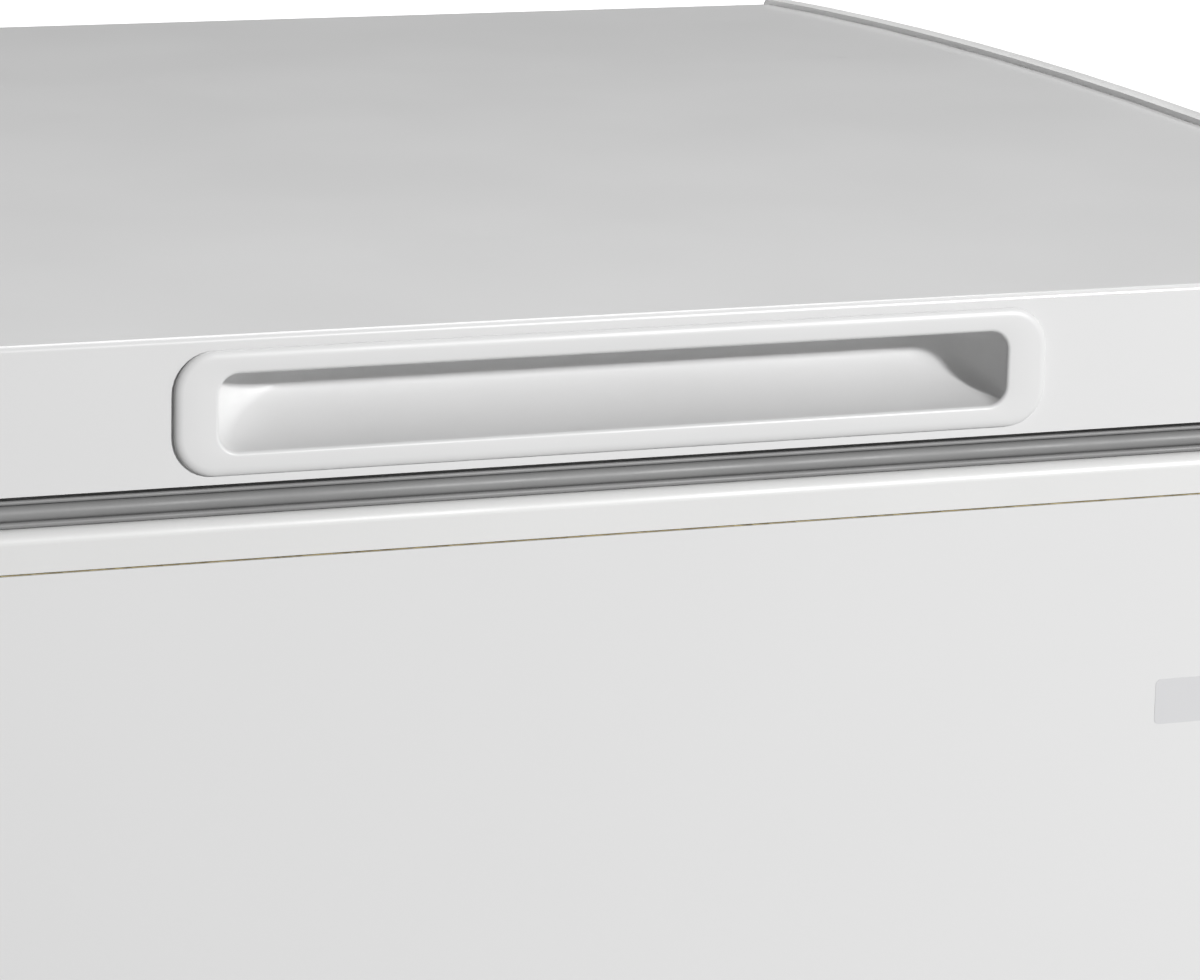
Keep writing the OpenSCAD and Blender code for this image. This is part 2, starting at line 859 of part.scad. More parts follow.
module evap_ring_space() {
    wide = evap_out + groove / 2;
    linear_extrude(height = groove, center = true)
        translate([0, cab_mid_y])
            difference() {
                round_rect(tub_w + 2 * wide, tub_d + 2 * wide, tub_r + wide);
                round_rect(tub_w + 2 * liner_t, tub_d + 2 * liner_t, tub_r + liner_t);
            }
}

module cond_run_space() {
    wide = sheet_t + cond_groove + fit;
    linear_extrude(height = cond_groove, center = true)
        difference() {
            cab_plan(-sheet_t);
            translate([0, cab_mid_y])
                round_rect(cab_w - 2 * wide, cab_d - 2 * wide, cab_r - wide + cond_in);
            translate([-cab_w, cab_y1 - 40])
                square([2 * cab_w, 60]);
        }
}

collar_wall = 8;

// The foam in plan, inside the wrap and the rear panel
module foam_plan() {
    intersection() {
        cab_plan(-sheet_t);
        translate([-cab_w, cab_y0])
            square([2 * cab_w, back_in - sheet_t - cab_y0]);
    }
}

module cabinet_foam() color([0.96, 0.9, 0.66])
    difference() {
        union() {
            translate([0, 0, base_z])
                linear_extrude(height = wrap_z1 - base_z)
                    foam_plan();
            translate([0, cab_mid_y, wrap_z1 - 1])
                linear_extrude(height = tub_top_z - wrap_z1 + 1)
                    round_rect(cab_w - 2 * collar_wall - 2 * fit, cab_d - 2 * collar_wall - 2 * fit, 3);
        }
        tub_space(liner_t, tub_top_z + 10);
        // compressor compartment
        translate([comp_x0 - panel_t, cab_y0 - 1, base_z - 1])
            cube([comp_w + 10, cab_d + 10, comp_h + panel_t - base_z + 1]);
        // grooves of the evaporator and its steps between turns
        for (i = [0:evap_turns - 1])
            translate([0, 0, evap_z0 + i * evap_pitch])
                evap_ring_space();
        translate([jog_x - 20, cab_mid_y + tub_d / 2 + liner_t, evap_z0 - groove / 2])
            cube([40, evap_out + groove / 2 - liner_t, (evap_turns - 1) * evap_pitch + groove]);
        // grooves of the condenser and its turns
        for (i = [0:cond_runs - 1])
            translate([0, 0, cond_z0 + i * cond_pitch])
                cond_run_space();
        for (s = [-1, 1])
            translate([s * (cab_w / 2 - cond_in), cab_y1 - 60, cond_z0 + (cond_runs - 1) * cond_pitch / 2])
                cube([cond_groove + 2 * fit, 42, (cond_runs - 1) * cond_pitch + cond_groove], center = true);
        // drain channel
        drain_space();
        // chases of the suction, capillary and condenser pipes
        pipe_chase();
        feet();
        base_flange(fit);
        hinge_body_screws();
    }

module drain_space() {
    translate([plug_x, plug_y, drain_z])
        cylinder(h = 200, d = 18 + 2 * fit);
    translate([plug_x, plug_y, drain_z])
        sphere(d = 18 + 2 * fit);
    translate([plug_x, cab_y0 - 5, drain_z])
        rotate([-90, 0, 0])
            cylinder(h = plug_y - cab_y0 + 5, d = 18 + 2 * fit);
}

chase_x = comp_x0 + 40;
module pipe_chase() {
    // suction and capillary, up behind the tub's rear wall to the lowest turn
    translate([chase_x - 14, cab_mid_y + tub_d / 2 + 3, comp_h - 5])
        cube([28, 22, evap_z0 - comp_h + 20]);
    // condenser, up inside the right wall
    translate([cab_w / 2 - cond_in - cond_groove, cab_y1 - 100, comp_h - 5])
        cube([2 * cond_groove - fit, 16, cond_z0 - comp_h + 10]);
}

module collar_section() {
    edge = 3.5;
    translate([-collar_wall, wrap_z1 + seam - collar_z])
        square([collar_wall, collar_face_h - seam - edge]);
    translate([-collar_wall, -edge - 0.01])
        square([collar_wall - edge, edge + 0.01]);
    translate([-edge, -edge])
        intersection() {
            circle(r = edge);
            square(edge);
        }
}

module top_collar() color([0.95, 0.95, 0.95]) {
    sheet = 2.2;
    lip = 5;
    difference() {
        union() {
            translate([0, cab_mid_y, collar_z])
                ring_sweep(cab_w, cab_d, cab_r + 0.5)
                    collar_section();
            translate([0, cab_mid_y, collar_z - sheet])
                linear_extrude(height = sheet)
                    round_rect(cab_w - 10, cab_d - 10, cab_r);
            translate([0, cab_mid_y, collar_z - 16])
                linear_extrude(height = 16)
                    round_rect(tub_w - 2 * fit, tub_d - 2 * fit, tub_r - fit);
        }
        translate([0, cab_mid_y, collar_z - 30])
            linear_extrude(height = 60)
                round_rect(tub_w - lip, tub_d - lip, tub_r - lip / 2);
    }
}

// ---- refrigeration ----

evap_w = tub_w / 2 + evap_out;
evap_y = tub_d / 2 + evap_out;

module evaporator_coil() color([0.8, 0.55, 0.35]) {
    r = tub_r + evap_out;
    // each turn starts and ends at the step between turns, on the rear wall
    turns = [for (i = [0:evap_turns - 1])
        each [
            [jog_x + 10, cab_mid_y + evap_y, evap_z0 + i * evap_pitch],
            [evap_w, cab_mid_y + evap_y, evap_z0 + i * evap_pitch],
            [evap_w, cab_mid_y - evap_y, evap_z0 + i * evap_pitch],
            [-evap_w, cab_mid_y - evap_y, evap_z0 + i * evap_pitch],
            [-evap_w, cab_mid_y + evap_y, evap_z0 + i * evap_pitch],
            [jog_x - 10, cab_mid_y + evap_y, evap_z0 + i * evap_pitch]]];
    tube(turned_wide(turns, r), evap_d);
}

// The route with a turn at each corner, of radius r on the rounds and small at the steps
function turned_wide(p, r) = [
    for (i = [0:len(p) - 1])
        let (k = i % 6)
        if (k == 0 || k == 5) p[i]
        else each corner(p[i - 1], p[i], p[i + 1], r)
];

function corner(p0, p1, p2, r, steps = 6) = let (
        a = unit(p0 - p1),
        b = unit(p2 - p1),
        half = acos(a * b) / 2,
        middle = p1 + unit(a + b) * r / sin(half),
        from = p1 + a * r / tan(half) - middle,
        sweep = 180 - 2 * half
    )
    [for (k = [0:steps]) middle + from * cos(sweep * k / steps) - a * r * sin(sweep * k / steps)];

module condenser_tube() color([0.35, 0.35, 0.36]) {
    x = cab_w / 2 - cond_in;
    y_front = cab_y0 + cond_in;
    y_back = cab_y1 - 52;
    runs = [for (i = [0:cond_runs - 1])
        let (z = cond_z0 + i * cond_pitch, s = i % 2 == 0 ? 1 : -1)
        each [[s * x, y_back, z], [s * x, y_front, z], [-s * x, y_front, z], [-s * x, y_back, z]]];
    tube(turned(runs, cab_r), cond_d);
}

module compressor_shell() color([0.08, 0.08, 0.09]) {
    translate([comp_cx, comp_cy, shell_z]) {
        rotate_extrude() {
            square([shell_r - shell_dome, shell_h]);
            translate([0, shell_dome])
                square([shell_r, shell_h - 2 * shell_dome]);
            for (z = [shell_dome, shell_h - shell_dome])
                intersection() {
                    translate([shell_r - shell_dome, z])
                        circle(r = shell_dome);
                    square([shell_r, shell_h]);
                }
        }
        // welded band
        translate([0, 0, shell_h * 0.56])
            cylinder(h = 5, r = shell_r + 2);
        // mounting feet
        difference() {
            for (a = [45:90:315])
                rotate([0, 0, a])
                    translate([shell_r - 26, -12, 2])
                        cube([38, 24, 3]);
            for (x = [-1, 1])
                for (y = [-1, 1])
                    translate([x * mount_x, y * mount_x, 0])
                        cylinder(h = 10, d = 12);
        }
    }
}

mount_x = (shell_r + 4) * 0.7071;

module compressor_rail() color([0.3, 0.3, 0.32]) {
    difference() {
        translate([comp_cx, comp_cy, plate_z + 1])
            cube([comp_w - 12, 2 * mount_x + 34, 2], center = true);
        for (x = [-1, 1])
            for (y = [-1, 1])
                translate([comp_cx + x * mount_x, comp_cy + y * mount_x, plate_z - 1])
                    cylinder(h = 10, d = 8.4);
    }
    for (s = [-1, 1])
        translate([comp_cx + s * (comp_w / 2 - 7), comp_cy, (base_z + plate_z + 2) / 2])
            cube([2, 2 * mount_x + 34, plate_z + 2 - base_z], center = true);
}

module compressor_grommets() color([0.12, 0.12, 0.12])
    for (x = [-1, 1])
        for (y = [-1, 1])
            translate([comp_cx + x * mount_x, comp_cy + y * mount_x, plate_z + 2])
                difference() {
                    union() {
                        cylinder(h = 15.8, d = 20);
                        translate([0, 0, 15.8])
                            cylinder(h = 3.4, d = 11.8);
                        translate([0, 0, 19.2])
                            cylinder(h = 2.4, d = 17);
                    }
                    cylinder(h = 30, d = 8.2);
                }

module compressor_bolts() color([0.7, 0.7, 0.72])
    for (x = [-1, 1])
        for (y = [-1, 1])
            translate([comp_cx + x * mount_x, comp_cy + y * mount_x, plate_z - 3]) {
                cylinder(h = 34, d = 8);
                cylinder(h = 2.6, d = 14);
                translate([0, 0, 26.8])
                    cylinder(h = 1.6, d = 16);
                translate([0, 0, 28.4])
                    cylinder(h = 6, d = 13, $fn = 6);
            }

box_x = comp_cx;
box_y = comp_cy - shell_r - 2.2;

module terminal_cover() color([0.12, 0.12, 0.13])
    translate([box_x, box_y, shell_z + shell_h * 0.3])
        difference() {
            translate([-28, -30, -24])
                cube([56, 30, 42]);
            translate([-26, -28, -22])
                cube([52, 40, 38]);
            translate([-8, -31, -20])
                cube([16, 5, 6]);
        }

module start_relay() color([0.85, 0.83, 0.78])
    translate([box_x, box_y, shell_z + shell_h * 0.3]) {
        translate([-20, -24, -16])
            cube([40, 18, 26]);
        for (x = [-8, 0, 8])
            translate([x, -7, -2])
                rotate([-90, 0, 0])
                    cylinder(h = 7, d = 2.4);
    }

drier_x = comp_x0 + 26;
drier_y = cab_y0 + 178;
drier_z = base_z + 130;
drier_l = 70;

module filter_drier() color([0.72, 0.45, 0.28])
    translate([drier_x, drier_y, drier_z])
        rotate([-90, 0, 0])
            rotate_extrude() {
                square([9, drier_l - 16]);
                translate([0, -8])
                    polygon([[0, 0], [3.5, 0], [9, 8], [0, 8]]);
                translate([0, drier_l - 16])
                    polygon([[0, 0], [9, 0], [3, 10], [0, 10]]);
            }

out_x = cab_w / 2 - cond_in;
cond_start_y = cab_y1 - 92;

module discharge_tube() color([0.75, 0.48, 0.3])
    tube(turned([
        [comp_cx + shell_r + 1.5, comp_cy + 10, shell_z + 62],
        [comp_cx + shell_r + 9, comp_cy + 10, shell_z + 62],
        [comp_cx + shell_r + 9, comp_cy + 10, comp_h - 50],
        [out_x, cond_start_y, comp_h - 16],
        [out_x, cond_start_y, cond_z0 - 4]], 8), cond_d);

module capillary_tube() color([0.78, 0.5, 0.32])
    tube(turned([
        [drier_x, drier_y + drier_l - 5, drier_z],
        [drier_x, drier_y + drier_l + 30, drier_z],
        [drier_x + 4, cab_mid_y + tub_d / 2 + 19, comp_h - 40],
        [chase_x - 8, cab_mid_y + tub_d / 2 + 19, comp_h + 4],
        [chase_x - 8, cab_mid_y + tub_d / 2 + 19, evap_z0 - 8]], 12), 2.4);

module suction_tube() color([0.75, 0.48, 0.3])
    tube(turned([
        [comp_cx - 20, comp_cy + shell_r, shell_z + 76],
        [comp_cx - 20, comp_cy + shell_r + 14, shell_z + 76],
        [chase_x + 4, cab_mid_y + tub_d / 2 + 12, comp_h - 40],
        [chase_x + 4, cab_mid_y + tub_d / 2 + 12, evap_z0 - evap_d]], 10), evap_d - 0.5);

// ---- controls ----

stem_d = 6;

module control_panel() color([0.93, 0.93, 0.93])
    difference() {
        union() {
            translate([panel_x, 0, panel_z])
                along_y(cab_y0 - panel_out, cab_y0)
                    round_rect(panel_w, panel_h, 8);
            translate([panel_x, 0, panel_z])
                along_y(cab_y0 - 0.01, cab_y0 + 16)
                    difference() {
                        round_rect(panel_w - 8.6, panel_h - 8.6, 5);
                        round_rect(panel_w - 12, panel_h - 12, 4);
                    }
        }
        translate([knob_x, 0, panel_z])
            along_y(cab_y0 - 5, cab_y0 + 5)
                circle(d = stem_d + 4);
        translate([lamp_x, 0, panel_z])
            along_y(cab_y0 - 5, cab_y0 + 5)
                circle(d = 8.2);
    }

module thermostat_knob() color([0.9, 0.9, 0.9])
    difference() {
        union() {
            translate([knob_x, cab_y0 - panel_out - run, panel_z])
                rotate([90, 0, 0]) {
                    cylinder(h = 3, d = knob_d);
                    cylinder(h = knob_h, d1 = knob_d - 4, d2 = knob_d - 7);
                }
            translate([knob_x, cab_y0 - 12, panel_z])
                cube([7, 9, knob_d - 5], center = true);
        }
        // bore on the thermostat's stem
        translate([knob_x, cab_y0 + 1, panel_z])
            rotate([90, 0, 0])
                cylinder(h = 11, r = stem_d / 2 + 0.05);
    }

module power_lamp() color([0.2, 0.75, 0.3])
    translate([lamp_x, 0, panel_z]) {
        along_y(cab_y0 - 3, cab_y0 + 8)
            circle(d = 8);
        along_y(cab_y0 - panel_out - 0.8, cab_y0 - panel_out)
            circle(d = 10);
        along_y(cab_y0 + 8, cab_y0 + 22)
            circle(d = 6.4);
    }

module thermostat_body() color([0.75, 0.75, 0.74])
    translate([knob_x, 0, panel_z]) {
        along_y(cab_y0 + 6, cab_y0 + 30)
            round_rect(38, 44, 3);
        along_y(cab_y0 - 8, cab_y0 + 6)
            circle(d = stem_d);
        // blade terminals
        for (x = [-10, 0, 10])
            translate([x, cab_y0 + 34, 8])
                cube([0.8, 8.02, 6.3], center = true);
    }

module thermostat_bulb_tube() color([0.78, 0.5, 0.32])
    tube(turned([
        [knob_x, cab_y0 + 30, panel_z - 10],
        [knob_x, cab_y0 + 70, panel_z - 10],
        [comp_x0 + 20, cab_y0 + 80, comp_h - 20],
        [comp_x0 + 20, cab_y0 + 160, comp_h - 8],
        [comp_x0 + 20, cab_y0 + 300, comp_h - 8]], 14), 2);

// ---- covers ----

module side_grille() color([0.9, 0.9, 0.9])
    translate([0, grille_y, grille_z])
        difference() {
            union() {
                along_x(cab_w / 2, cab_w / 2 + 2)
                    round_rect(grille_w, grille_h, 8);
                along_x(cab_w / 2 - 8, cab_w / 2 + 0.01)
                    difference() {
                        round_rect(grille_w - 8.6, grille_h - 8.6, 5);
                        round_rect(grille_w - 12.6, grille_h - 12.6, 4);
                    }
            }
            for (i = [-5:5])
                along_x(cab_w / 2 - 1, cab_w / 2 + 5)
                    translate([0, i * (grille_h - 20) / 11])
                        square([grille_w - 24, 4.4], center = true);
        }

cover_screws = [for (x = [-1, 1]) for (z = [-1, 0, 1])
    [cover_x + x * (cover_w / 2 - 6), cover_z + z * (cover_h / 2 - 12)]];

module rear_cover() color([0.68, 0.69, 0.7])
    difference() {
        translate([cover_x, 0, cover_z])
            along_y(back_in, back_in + 1)
                round_rect(cover_w, cover_h, 4);
        // rows of air slots
        for (i = [0:7])
            for (x = [-1, 1])
                translate([cover_x + x * 34, 0, base_z + 40 + i * 18])
                    along_y(back_in - 5, back_in + 5)
                        round_rect(50, 7, 3.4);
        for (s = cover_screws)
            translate([s[0], 0, s[1]])
                along_y(back_in - 5, back_in + 5)
                    circle(d = 4.4);
        translate([gland_x, 0, gland_z])
            along_y(back_in - 5, back_in + 5)
                circle(d = 14);
    }

module rear_cover_screws() color([0.7, 0.7, 0.72])
    for (s = cover_screws)
        translate([s[0], back_in + 1, s[1]])
            rotate([-90, 0, 0])
                screw(4, 9, 8, 2);

gland_x = cover_x + 40;
gland_z = base_z + 22;

module cord_gland() color([0.1, 0.1, 0.1])
    translate([gland_x, 0, gland_z])
        difference() {
            union() {
                along_y(back_in - 3, back_in + 4)
                    circle(d = 13.8);
                along_y(back_in + 1, back_in + 4)
                    circle(d = 20);
                along_y(back_in - 5, back_in - 1)
                    circle(d = 17);
            }
            along_y(back_in - 10, back_in + 10)
                circle(d = 7.4);
        }

module wiring_harness() color([0.2, 0.35, 0.7]) {
    tube(turned([
        [knob_x, cab_y0 + 38, panel_z + 8],
        [knob_x, cab_y0 + 60, panel_z + 8],
        [comp_x0 + 60, cab_y0 + 90, base_z + 60],
        [comp_cx - 30, comp_cy - shell_r - 60, shell_z + 30],
        [comp_cx, comp_cy - shell_r - 50, shell_z + shell_h * 0.3 - 17],
        [comp_cx, box_y - 26, shell_z + shell_h * 0.3 - 17]], 10), 4);
    tube(turned([
        [lamp_x, cab_y0 + 22, panel_z],
        [lamp_x, cab_y0 + 52, panel_z],
        [comp_x0 + 50, cab_y0 + 82, base_z + 52]], 10), 3, 6);
}

// ---- defrost drain ----

drain_t = 1.6;

module drain_tube() color([0.9, 0.9, 0.9])
    difference() {
        union() {
            translate([plug_x, plug_y, drain_z])
                cylinder(h = tub_floor_z - liner_t - drain_z - fit, d = 18);
            translate([plug_x, plug_y, drain_z])
                sphere(d = 18);
            translate([plug_x, cab_y0 - 10, drain_z])
                rotate([-90, 0, 0])
                    cylinder(h = plug_y - cab_y0 + 10, d = 18);
        }
        translate([plug_x, plug_y, drain_z])
            cylinder(h = 200, d = 18 - 2 * drain_t);
        translate([plug_x, plug_y, drain_z])
            sphere(d = 18 - 2 * drain_t);
        translate([plug_x, cab_y0 - 20, drain_z])
            rotate([-90, 0, 0])
                cylinder(h = plug_y - cab_y0 + 20, d = 18 - 2 * drain_t);
    }

module inner_drain_plug() color([0.85, 0.85, 0.85])
    translate([plug_x, plug_y, tub_floor_z]) {
        translate([0, 0, run])
            cylinder(h = 3, d = 30);
        translate([0, 0, -16])
            cylinder(h = 17, d1 = 12, d2 = 14);
        translate([0, 0, 3])
            difference() {
                translate([0, 0, 3])
                    cube([16, 3, 8], center = true);
                translate([0, 0, 3.6])
                    cube([8, 5, 3.4], center = true);
            }
    }

module outer_drain_cap() color([0.9, 0.9, 0.9])
    difference() {
        translate([plug_x, cab_y0 - 12, drain_z])
            rotate([-90, 0, 0])
                difference() {
                    cylinder(h = 11, d = 24);
                    translate([0, 0, 2 - run])
                        cylinder(h = 12, d = 18.1);
                    for (a = [0:20:340])
                        rotate([0, 0, a])
                            translate([12.4, 0, 1])
                                cylinder(h = 20, d = 2);
                }
    }

// ---- basket ----

basket_x = -tub_w / 2 + 22 + basket_w / 2;
basket_d = tub_d - 2 * ledge_reach - 14;
rest_z = ledge_z + rim_wire_d / 2 + run;
rail_reach = tub_d / 2 - 2.5;

module basket() color([0.95, 0.95, 0.96])
    translate([basket_x, cab_mid_y, rest_z]) {
        low = -basket_h;
        bottom_w = basket_w - 30;
        bottom_d = basket_d - 30;
        lap = mesh_wire_d * 0.35;
        // rim and floor frames
        ring_sweep(basket_w, basket_d, 18)
            circle(d = rim_wire_d, $fn = 20);
        translate([0, 0, low])
            ring_sweep(bottom_w, bottom_d, 14)
                circle(d = mesh_wire_d, $fn = 16);
        // wires up the front and back and under the floor
        for (i = [-3:3])
            let (xt = i * (basket_w - 36) / 6, xb = i * (bottom_w - 28) / 6) {
                for (s = [-1, 1])
                    bar([xt, s * basket_d / 2, 0], [xb, s * bottom_d / 2, low], mesh_wire_d);
                bar([xb, -bottom_d / 2, low + lap], [xb, bottom_d / 2, low + lap], mesh_wire_d);
            }
        // wires up the sides and across the floor
        for (i = [-6:6])
            let (yt = i * (basket_d - 40) / 12, yb = i * (bottom_d - 30) / 12) {
                for (s = [-1, 1])
                    bar([s * basket_w / 2, yt, 0], [s * bottom_w / 2, yb, low], mesh_wire_d);
                bar([-bottom_w / 2, yb, low - lap], [bottom_w / 2, yb, low - lap], mesh_wire_d);
            }
        // hangers that rest on the liner's ledges
        for (s = [-1, 1])
            for (x = [-1, 1])
                bar([x * (basket_w / 2 - 26), s * (basket_d / 2 - 1), 0],
                    [x * (basket_w / 2 - 26), s * rail_reach, 0], rim_wire_d);
    }

// ---- the assembly ----
lid_skin();
lid_cap_left();
lid_cap_right();
lid_foam();
lid_inner_panel();
lid_gasket();
gasket_magnet();
handle_insert();
hinge_left_lid_leaf();
hinge_right_lid_leaf();
hinge_lid_screws();
hinge_left_body_leaf();
hinge_right_body_leaf();
hinge_left_pin();
hinge_right_pin();
hinge_left_spring();
hinge_right_spring();
hinge_body_screws();
outer_wrap();
rear_panel();
base_pan();
feet();
compartment_panel();
inner_liner();
basket_ledges();
cabinet_foam();
top_collar();
evaporator_coil();
condenser_tube();
compressor_shell();
compressor_rail();
compressor_grommets();
compressor_bolts();
terminal_cover();
start_relay();
filter_drier();
capillary_tube();
suction_tube();
discharge_tube();
thermostat_body();
thermostat_bulb_tube();
thermostat_knob();
control_panel();
power_lamp();
side_grille();
rear_cover();
rear_cover_screws();
cord_gland();
wiring_harness();
drain_tube();
inner_drain_plug();
outer_drain_cap();
basket();
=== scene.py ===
"""A compact chest freezer in a plain studio. Metres, +Z up, front towards -Y."""
import json
import math

import bmesh
import bpy
from mathutils import Matrix, Vector

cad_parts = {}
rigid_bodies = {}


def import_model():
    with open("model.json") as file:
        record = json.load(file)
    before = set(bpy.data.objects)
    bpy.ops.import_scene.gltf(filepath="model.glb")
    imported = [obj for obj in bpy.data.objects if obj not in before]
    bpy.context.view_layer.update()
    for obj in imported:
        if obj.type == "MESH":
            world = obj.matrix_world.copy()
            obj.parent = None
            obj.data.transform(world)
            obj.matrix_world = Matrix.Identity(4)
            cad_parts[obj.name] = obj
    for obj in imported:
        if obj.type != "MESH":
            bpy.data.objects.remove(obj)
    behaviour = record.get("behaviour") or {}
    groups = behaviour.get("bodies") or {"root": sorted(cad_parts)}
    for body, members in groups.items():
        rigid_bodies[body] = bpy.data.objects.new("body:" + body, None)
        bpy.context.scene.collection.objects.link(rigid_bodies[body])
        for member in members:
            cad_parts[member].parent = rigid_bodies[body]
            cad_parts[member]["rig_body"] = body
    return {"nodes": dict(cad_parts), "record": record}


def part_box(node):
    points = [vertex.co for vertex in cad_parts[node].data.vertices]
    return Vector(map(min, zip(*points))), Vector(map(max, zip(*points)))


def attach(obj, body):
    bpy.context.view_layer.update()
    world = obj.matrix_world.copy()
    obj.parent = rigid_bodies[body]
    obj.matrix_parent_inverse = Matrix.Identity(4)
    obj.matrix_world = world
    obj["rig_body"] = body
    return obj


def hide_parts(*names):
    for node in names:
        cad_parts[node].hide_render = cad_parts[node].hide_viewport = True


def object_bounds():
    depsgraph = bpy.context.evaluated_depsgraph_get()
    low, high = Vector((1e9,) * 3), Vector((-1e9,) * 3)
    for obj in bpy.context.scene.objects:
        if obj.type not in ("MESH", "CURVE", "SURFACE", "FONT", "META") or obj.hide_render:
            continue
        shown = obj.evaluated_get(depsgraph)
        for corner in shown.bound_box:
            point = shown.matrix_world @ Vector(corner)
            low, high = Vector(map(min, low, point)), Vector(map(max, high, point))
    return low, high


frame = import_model()
cad_low, cad_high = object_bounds()
nodes = frame["nodes"]
MM = 0.001

# ---- places taken from the frame ----

skin_low, skin_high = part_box("lid_skin")
CROWN = 8.3 * MM
front_y = skin_low.y
edge_z = skin_high.z - CROWN
wrap_low, wrap_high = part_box("outer_wrap")
panel_low, panel_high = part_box("control_panel")
knob_low, knob_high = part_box("thermostat_knob")


# ---- camera ----

def aim(location, yaw, pitch, roll):
    """A camera matrix: yaw to the right of +Y, pitch downwards, roll about the view."""
    forward = Vector((math.sin(yaw) * math.cos(pitch), math.cos(yaw) * math.cos(pitch), -math.sin(pitch)))
    right = Vector((math.cos(yaw), -math.sin(yaw), 0))
    up = right.cross(forward)
    x = math.cos(roll) * right + math.sin(roll) * up
    y = math.cos(roll) * up - math.sin(roll) * right
    m = Matrix((x, y, -forward)).transposed().to_4x4()
    m.translation = location
    return m


camera_data = bpy.data.cameras.new("camera")
camera_data.sensor_width = 36
camera_data.lens = 156.93
camera_data.clip_start = 0.05
camera_data.clip_end = 200
camera = bpy.data.objects.new("camera", camera_data)
bpy.context.scene.collection.objects.link(camera)
camera_place = Vector((-0.485, front_y - 1.199, edge_z + 0.254))
camera.matrix_world = aim(camera_place, math.radians(21.80), math.radians(13.03), math.radians(1.38))
bpy.context.scene.camera = camera


# ---- materials ----

NOISE_ROUGHNESS = 0.55


class Finish:
    """A procedural material: colour, roughness and bump from noise in object space."""

    def __init__(self, name, color, rough, metallic=0.0, coat=0.0, coat_rough=0.1, sheen=0.0):
        self.material = bpy.data.materials.new(name)
        self.material.use_nodes = True
        self.tree = self.material.node_tree
        self.shader = self.tree.nodes["Principled BSDF"]
        self.coords = self.tree.nodes.new("ShaderNodeTexCoord")
        self.set("Base Color", (*color, 1))
        self.set("Roughness", rough)
        self.set("Metallic", metallic)
        self.set("Coat Weight", coat)
        self.set("Coat Roughness", coat_rough)
        self.set("Sheen Weight", sheen)
        self.color = color
        self.rough = rough
        self.normal = None

    def set(self, socket, value):
        self.shader.inputs[socket].default_value = value

    def link(self, a, b):
        self.tree.links.new(a, b)

    def noise(self, scale, detail, stretch=(1, 1, 1)):
        mapping = self.tree.nodes.new("ShaderNodeMapping")
        mapping.inputs["Scale"].default_value = stretch
        self.link(self.coords.outputs["Object"], mapping.inputs["Vector"])
        tex = self.tree.nodes.new("ShaderNodeTexNoise")
        tex.inputs["Scale"].default_value = scale
        tex.inputs["Detail"].default_value = detail
        tex.inputs["Roughness"].default_value = NOISE_ROUGHNESS
        self.link(mapping.outputs["Vector"], tex.inputs["Vector"])
        return tex.outputs["Fac"]

    def cells(self, scale, feature="F1", output="Distance"):
        tex = self.tree.nodes.new("ShaderNodeTexVoronoi")
        tex.feature = feature
        tex.inputs["Scale"].default_value = scale
        self.link(self.coords.outputs["Object"], tex.inputs["Vector"])
        return tex.outputs[output]

    def span(self, value, low, high, start=0.35, end=0.65):
        node = self.tree.nodes.new("ShaderNodeMapRange")
        node.inputs["From Min"].default_value = start
        node.inputs["From Max"].default_value = end
        node.inputs["To Min"].default_value = low
        node.inputs["To Max"].default_value = high
        self.link(value, node.inputs["Value"])
        return node.outputs["Result"]

    def tint(self, value, other, amount=1.0):
        """Mixes the base colour towards another where value is high."""
        mix = self.tree.nodes.new("ShaderNodeMix")
        mix.data_type = "RGBA"
        mix.inputs["A"].default_value = (*self.color, 1)
        mix.inputs["B"].default_value = (*other, 1)
        self.link(self.span(value, 0, amount), mix.inputs["Factor"])
        self.link(mix.outputs["Result"], self.shader.inputs["Base Color"])

    def uneven(self, value, swing):
        """Varies the roughness by swing either way."""
        self.link(self.span(value, self.rough - swing, self.rough + swing), self.shader.inputs["Roughness"])

    def bump(self, value, height, strength=1.0):
        """Adds relief of the given height in metres."""
        node = self.tree.nodes.new("ShaderNodeBump")
        node.inputs["Strength"].default_value = strength
        node.inputs["Distance"].default_value = height
        self.link(value, node.inputs["Height"])
        if self.normal is not None:
            self.link(self.normal, node.inputs["Normal"])
        self.normal = node.outputs["Normal"]
        self.link(self.normal, self.shader.inputs["Normal"])


def enamel(name, color):
    f = Finish(name, color, 0.34, coat=0.35, coat_rough=0.12)
    f.bump(f.noise(420, 3), 0.00003, 0.35)
    f.bump(f.noise(38, 2), 0.0002, 0.02)
    f.uneven(f.noise(14, 5), 0.015)
    f.tint(f.noise(6, 4), tuple(c * 0.99 for c in color))
    return f


def plastic(name, color, rough, grain, relief, coat=0.0):
    f = Finish(name, color, rough, coat=coat, coat_rough=0.15)
    f.bump(f.noise(grain, 4), relief, 0.4)
    f.uneven(f.noise(22, 5), 0.05)
    f.tint(f.noise(9, 3), tuple(c * 0.98 for c in color))
    return f


def vinyl_seal():
    color = (0.27, 0.27, 0.27)
    f = Finish("gasket_vinyl", color, 0.5)
    f.bump(f.noise(900, 3), 0.00004, 0.5)
    f.bump(f.noise(60, 3, (0.15, 0.15, 2.0)), 0.0003, 0.15)
    f.uneven(f.noise(30, 4), 0.08)
    f.tint(f.noise(16, 4), (0.23, 0.23, 0.23))
    return f


def rubber(name, color):
    f = Finish(name, color, 0.75, sheen=0.1)
    f.bump(f.noise(700, 4), 0.0001, 0.5)
    f.uneven(f.noise(40, 4), 0.1)
    f.tint(f.noise(25, 5), (0.09, 0.085, 0.08), 0.5)
    return f


def galvanised():
    color = (0.60, 0.61, 0.62)
    f = Finish("galvanised_sheet", color, 0.42, metallic=0.85)
    spangle = f.cells(110, output="Color")
    f.tint(spangle, (0.54, 0.55, 0.565), 0.5)
    f.uneven(spangle, 0.09)
    f.bump(f.noise(160, 4), 0.00005, 0.3)
    return f


